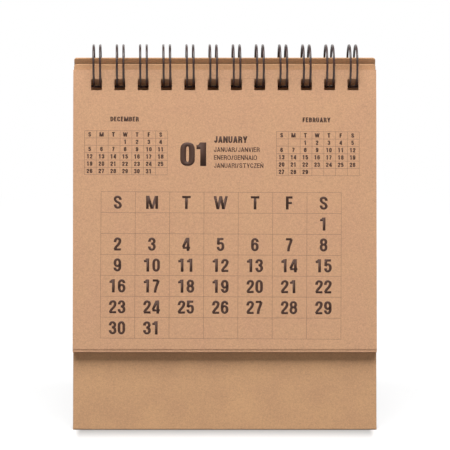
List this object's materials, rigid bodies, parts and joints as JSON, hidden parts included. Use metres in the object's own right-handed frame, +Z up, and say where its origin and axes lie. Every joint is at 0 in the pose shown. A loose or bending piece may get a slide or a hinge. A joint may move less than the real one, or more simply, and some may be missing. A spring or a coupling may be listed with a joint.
{
  "type": "flip desk calendar",
  "caption": "Tent-shaped desk calendar: kraft paper month leaves turn over a dark twin-loop wire through a leaning front board and a back board, on a folding base flap.",
  "frame": {"origin": "centre of the overall box in X and Y, on the surface the calendar stands on", "axes": "+X to the reader's right, -Y towards the reader, +Z up"},
  "size_m": [0.11, 0.066, 0.1357],
  "materials": {
    "kraft_board": "matt, uncoated kraft board with short fibres",
    "kraft_paper": "matt, uncoated kraft paper printed in dark brown",
    "print_ink": "matt dark brown printing ink on the kraft paper, a skin with no body of its own",
    "dark_wire": "satin, nylon-coated steel wire"
  },
  "bodies": {
    "front_panel": {"front_panel": "kraft_board"},
    "base_flap": {"base_flap": "kraft_board"},
    "back_panel": {"back_panel": "kraft_board"},
    "binding_wire": {"binding_wire": "dark_wire"},
    "leaf_01_january": {"leaf_01_january": "kraft_paper"},
    "leaf_02_february": {"leaf_02_february": "kraft_paper"},
    "leaf_03_march": {"leaf_03_march": "kraft_paper"},
    "leaf_04_april": {"leaf_04_april": "kraft_paper"},
    "leaf_05_may": {"leaf_05_may": "kraft_paper"},
    "leaf_06_june": {"leaf_06_june": "kraft_paper"},
    "leaf_07_july": {"leaf_07_july": "kraft_paper"},
    "leaf_08_august": {"leaf_08_august": "kraft_paper"},
    "leaf_09_september": {"leaf_09_september": "kraft_paper"},
    "leaf_10_october": {"leaf_10_october": "kraft_paper"},
    "leaf_11_november": {"leaf_11_november": "kraft_paper"},
    "leaf_12_december": {"leaf_12_december": "kraft_paper"}
  },
  "joints": [
    {"name": "stand_fold", "type": "hinge", "parent": "front_panel", "child": "back_panel", "pos_m": [0, 0.00183, 0.12773], "axis": [-1, 0, 0], "range_deg": [0, 26.38]},
    {"name": "base_fold", "type": "hinge", "parent": "front_panel", "child": "base_flap", "pos_m": [0, -0.0326, 0.0004], "axis": [-1, 0, 0], "range_deg": [0, 105]},
    {"name": "leaves_turn", "type": "hinge", "parent": "front_panel", "child": "binding_wire", "pos_m": [0, 0.00183, 0.12773], "axis": [-1, 0, 0], "range_deg": [0, 279.44]},
    {"name": "leaf_01_january_swing", "type": "hinge", "parent": "binding_wire", "child": "leaf_01_january", "pos_m": [0, -0.00427, 0.12317], "axis": [-1, 0, 0], "range_deg": [0, 54.86]},
    {"name": "leaf_02_february_swing", "type": "hinge", "parent": "binding_wire", "child": "leaf_02_february", "pos_m": [0, -0.00411, 0.12297], "axis": [-1, 0, 0], "range_deg": [0, 54.86]},
    {"name": "leaf_03_march_swing", "type": "hinge", "parent": "binding_wire", "child": "leaf_03_march", "pos_m": [0, -0.00395, 0.12278], "axis": [-1, 0, 0], "range_deg": [0, 54.86]},
    {"name": "leaf_04_april_swing", "type": "hinge", "parent": "binding_wire", "child": "leaf_04_april", "pos_m": [0, -0.00379, 0.12259], "axis": [-1, 0, 0], "range_deg": [0, 54.86]},
    {"name": "leaf_05_may_swing", "type": "hinge", "parent": "binding_wire", "child": "leaf_05_may", "pos_m": [0, -0.00362, 0.12241], "axis": [-1, 0, 0], "range_deg": [0, 54.86]},
    {"name": "leaf_06_june_swing", "type": "hinge", "parent": "binding_wire", "child": "leaf_06_june", "pos_m": [0, -0.00344, 0.12223], "axis": [-1, 0, 0], "range_deg": [0, 54.86]},
    {"name": "leaf_07_july_swing", "type": "hinge", "parent": "binding_wire", "child": "leaf_07_july", "pos_m": [0, -0.00326, 0.12206], "axis": [-1, 0, 0], "range_deg": [0, 54.86]},
    {"name": "leaf_08_august_swing", "type": "hinge", "parent": "binding_wire", "child": "leaf_08_august", "pos_m": [0, -0.00307, 0.1219], "axis": [-1, 0, 0], "range_deg": [0, 54.86]},
    {"name": "leaf_09_september_swing", "type": "hinge", "parent": "binding_wire", "child": "leaf_09_september", "pos_m": [0, -0.00287, 0.12174], "axis": [-1, 0, 0], "range_deg": [0, 54.86]},
    {"name": "leaf_10_october_swing", "type": "hinge", "parent": "binding_wire", "child": "leaf_10_october", "pos_m": [0, -0.00267, 0.12159], "axis": [-1, 0, 0], "range_deg": [0, 54.86]},
    {"name": "leaf_11_november_swing", "type": "hinge", "parent": "binding_wire", "child": "leaf_11_november", "pos_m": [0, -0.00247, 0.12145], "axis": [-1, 0, 0], "range_deg": [0, 54.86]},
    {"name": "leaf_12_december_swing", "type": "hinge", "parent": "binding_wire", "child": "leaf_12_december", "pos_m": [0, -0.00226, 0.12131], "axis": [-1, 0, 0], "range_deg": [0, 54.86]}
  ],
  "couplings": [
    {"joint": "base_fold", "follows": "stand_fold", "ratio": 3.9797},
    {"joint": "leaf_01_january_swing", "follows": "leaves_turn", "ratio": 0.19634},
    {"joint": "leaf_02_february_swing", "follows": "leaves_turn", "ratio": 0.19634},
    {"joint": "leaf_03_march_swing", "follows": "leaves_turn", "ratio": 0.19634},
    {"joint": "leaf_04_april_swing", "follows": "leaves_turn", "ratio": 0.19634},
    {"joint": "leaf_05_may_swing", "follows": "leaves_turn", "ratio": 0.19634},
    {"joint": "leaf_06_june_swing", "follows": "leaves_turn", "ratio": 0.19634},
    {"joint": "leaf_07_july_swing", "follows": "leaves_turn", "ratio": 0.19634},
    {"joint": "leaf_08_august_swing", "follows": "leaves_turn", "ratio": 0.19634},
    {"joint": "leaf_09_september_swing", "follows": "leaves_turn", "ratio": 0.19634},
    {"joint": "leaf_10_october_swing", "follows": "leaves_turn", "ratio": 0.19634},
    {"joint": "leaf_11_november_swing", "follows": "leaves_turn", "ratio": 0.19634},
    {"joint": "leaf_12_december_swing", "follows": "leaves_turn", "ratio": 0.19634}
  ]
}
